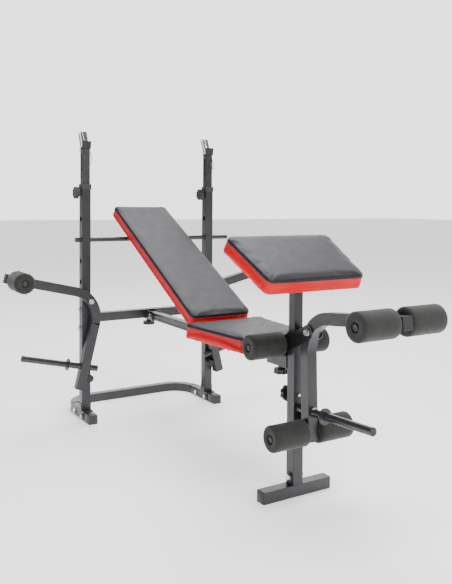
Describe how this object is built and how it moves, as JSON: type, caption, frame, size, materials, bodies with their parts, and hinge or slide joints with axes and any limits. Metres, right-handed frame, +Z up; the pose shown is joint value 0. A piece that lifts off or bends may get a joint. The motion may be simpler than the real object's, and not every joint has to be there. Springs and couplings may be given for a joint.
{
  "type": "multi-function weight bench",
  "caption": "Weight bench with inclined backrest, telescopic bar supports, leg lever with foam rollers, preacher pad and two butterfly arms.",
  "frame": {"origin": "on the floor under the middle of the front foot", "axes": "+Y runs back from the front foot to the uprights, +X to the right of someone facing the uprights, +Z up"},
  "size_m": [1.3054, 1.8385, 1.239],
  "materials": {
    "frame_paint": "satin graphite powder coat",
    "black_paint": "semi-gloss black powder coat",
    "grey_tube": "glossy grey paint over steel tube",
    "bar_steel": "dark satin steel bar",
    "zinc": "bright zinc plating",
    "cradle_chrome": "polished",
    "grey_plastic": "matt",
    "black_plastic": "satin",
    "black_rubber": "matt",
    "roller_foam": "matt closed-cell foam",
    "upholstery": "dark grey vinyl top with a red vinyl side band",
    "board": "dark sealed board"
  },
  "bodies": {
    "frame": {"base_tube": "frame_paint", "base_end_caps": "grey_plastic", "base_saddles": "frame_paint", "upright_left": "frame_paint", "upright_right": "frame_paint", "upright_collars": "grey_plastic", "cross_frame": "frame_paint", "frame_fasteners": "zinc", "arm_spacers": "black_plastic", "arm_bumpers": "black_rubber", "main_beam": "frame_paint", "backrest_pin": "zinc", "seat_board": "board", "seat_pad": "upholstery"},
    "front_post": {"front_post": "frame_paint", "front_foot": "frame_paint", "post_liner": "black_plastic", "pivot_plates": "black_paint", "beam_bracket": "black_paint", "knee_bar": "bar_steel", "post_fasteners": "zinc"},
    "preacher": {"preacher_post": "black_paint", "preacher_board": "board", "preacher_pad": "upholstery"},
    "leg_lever": {"lever_tube": "frame_paint", "lever_plugs": "black_plastic", "lever_roller_bars": "bar_steel", "lever_weight_post": "grey_tube", "lever_stop": "black_rubber"},
    "backrest": {"backrest_rails": "frame_paint", "backrest_board": "board", "backrest_pad": "upholstery"},
    "crossbar": {"crossbar": "bar_steel"},
    "arm_left": {"arm_tube_left": "frame_paint", "arm_plugs_left": "black_plastic", "arm_roller_bar_left": "bar_steel", "arm_weight_post_left": "grey_tube"},
    "bar_post_left": {"bar_post_left": "frame_paint", "bar_cradle_left": "cradle_chrome"},
    "bar_latch_left": {"bar_latch_left": "zinc"},
    "upright_knob_left": {"upright_knob_left": "black_plastic"},
    "knee_foam_left": {"knee_foam_left": "roller_foam"},
    "upper_foam_left": {"upper_foam_left": "roller_foam"},
    "lower_foam_left": {"lower_foam_left": "roller_foam"},
    "arm_foam_left": {"arm_foam_left": "roller_foam"},
    "arm_right": {"arm_tube_right": "frame_paint", "arm_plugs_right": "black_plastic", "arm_roller_bar_right": "bar_steel", "arm_weight_post_right": "grey_tube"},
    "bar_post_right": {"bar_post_right": "frame_paint", "bar_cradle_right": "cradle_chrome"},
    "bar_latch_right": {"bar_latch_right": "zinc"},
    "upright_knob_right": {"upright_knob_right": "black_plastic"},
    "knee_foam_right": {"knee_foam_right": "roller_foam"},
    "upper_foam_right": {"upper_foam_right": "roller_foam"},
    "lower_foam_right": {"lower_foam_right": "roller_foam"},
    "arm_foam_right": {"arm_foam_right": "roller_foam"},
    "preacher_knob": {"preacher_knob": "black_plastic"},
    "beam_knob_front": {"beam_knob_front": "black_plastic"},
    "beam_knob_rear": {"beam_knob_rear": "black_plastic"}
  },
  "joints": [
    {"name": "front_post_fold", "type": "hinge", "parent": "frame", "child": "front_post", "pos_m": [0, 0.128, 0.43], "axis": [1, 0, 0], "range_deg": [0, 90]},
    {"name": "backrest_tilt", "type": "hinge", "parent": "frame", "child": "backrest", "pos_m": [0, 0.50601, 0.47987], "axis": [1, 0, 0], "range_deg": [0, 15]},
    {"name": "leg_lever_pivot", "type": "hinge", "parent": "front_post", "child": "leg_lever", "pos_m": [0, -0.088, 0.535], "axis": [-1, 0, 0], "range_deg": [0, 42]},
    {"name": "preacher_slide", "type": "slide", "parent": "front_post", "child": "preacher", "axis": [0, 0, 1], "range_m": [0, 0.11]},
    {"name": "crossbar_slide", "type": "slide", "parent": "frame", "child": "crossbar", "axis": [1, 0, 0], "range_m": [-0.06, 0.02]},
    {"name": "arm_left_pivot", "type": "hinge", "parent": "frame", "child": "arm_left", "pos_m": [-0.2945, 1.062, 0.511], "axis": [0, 1, 0], "range_deg": [0, 85]},
    {"name": "arm_right_pivot", "type": "hinge", "parent": "frame", "child": "arm_right", "pos_m": [0.2945, 1.062, 0.511], "axis": [0, -1, 0], "range_deg": [0, 85]},
    {"name": "bar_post_left_slide", "type": "slide", "parent": "frame", "child": "bar_post_left", "axis": [0, 0, 1], "range_m": [-0.06, 0.09]},
    {"name": "bar_post_right_slide", "type": "slide", "parent": "frame", "child": "bar_post_right", "axis": [0, 0, 1], "range_m": [-0.06, 0.09]},
    {"name": "bar_latch_left_swing", "type": "hinge", "parent": "bar_post_left", "child": "bar_latch_left", "pos_m": [-0.3015, 1.105, 1.148], "axis": [1, 0, 0], "range_deg": [0, 150]},
    {"name": "bar_latch_right_swing", "type": "hinge", "parent": "bar_post_right", "child": "bar_latch_right", "pos_m": [0.3015, 1.105, 1.148], "axis": [1, 0, 0], "range_deg": [0, 150]},
    {"name": "knee_foam_left_spin", "type": "hinge", "parent": "front_post", "child": "knee_foam_left", "pos_m": [-0.0865, 0.047, 0.477], "axis": [1, 0, 0], "continuous": true},
    {"name": "upper_foam_left_spin", "type": "hinge", "parent": "leg_lever", "child": "upper_foam_left", "pos_m": [-0.0855, -0.445, 0.61594], "axis": [1, 0, 0], "continuous": true},
    {"name": "lower_foam_left_spin", "type": "hinge", "parent": "leg_lever", "child": "lower_foam_left", "pos_m": [-0.0855, -0.07561, 0.224], "axis": [1, 0, 0], "continuous": true},
    {"name": "arm_foam_left_spin", "type": "hinge", "parent": "arm_left", "child": "arm_foam_left", "pos_m": [-0.60667, 0.98, 0.61577], "axis": [0, 1, 0], "continuous": true},
    {"name": "knee_foam_right_spin", "type": "hinge", "parent": "front_post", "child": "knee_foam_right", "pos_m": [0.0865, 0.047, 0.477], "axis": [1, 0, 0], "continuous": true},
    {"name": "upper_foam_right_spin", "type": "hinge", "parent": "leg_lever", "child": "upper_foam_right", "pos_m": [0.0855, -0.445, 0.61594], "axis": [1, 0, 0], "continuous": true},
    {"name": "lower_foam_right_spin", "type": "hinge", "parent": "leg_lever", "child": "lower_foam_right", "pos_m": [0.0855, -0.07561, 0.224], "axis": [1, 0, 0], "continuous": true},
    {"name": "arm_foam_right_spin", "type": "hinge", "parent": "arm_right", "child": "arm_foam_right", "pos_m": [0.60667, 0.98, 0.61577], "axis": [0, 1, 0], "continuous": true},
    {"name": "preacher_knob_turn", "type": "hinge", "parent": "front_post", "child": "preacher_knob", "pos_m": [0, 0.03, 0.317], "axis": [0, 1, 0], "continuous": true},
    {"name": "beam_knob_front_turn", "type": "hinge", "parent": "front_post", "child": "beam_knob_front", "pos_m": [0, 0.074, 0.39], "axis": [0, 0, 1], "continuous": true},
    {"name": "beam_knob_rear_turn", "type": "hinge", "parent": "frame", "child": "beam_knob_rear", "pos_m": [0, 1.105, 0.4], "axis": [0, 0, 1], "continuous": true},
    {"name": "upright_knob_left_turn", "type": "hinge", "parent": "frame", "child": "upright_knob_left", "pos_m": [-0.3315, 1.105, 0.973], "axis": [1, 0, 0], "continuous": true},
    {"name": "upright_knob_right_turn", "type": "hinge", "parent": "frame", "child": "upright_knob_right", "pos_m": [0.2715, 1.105, 0.973], "axis": [1, 0, 0], "continuous": true}
  ]
}
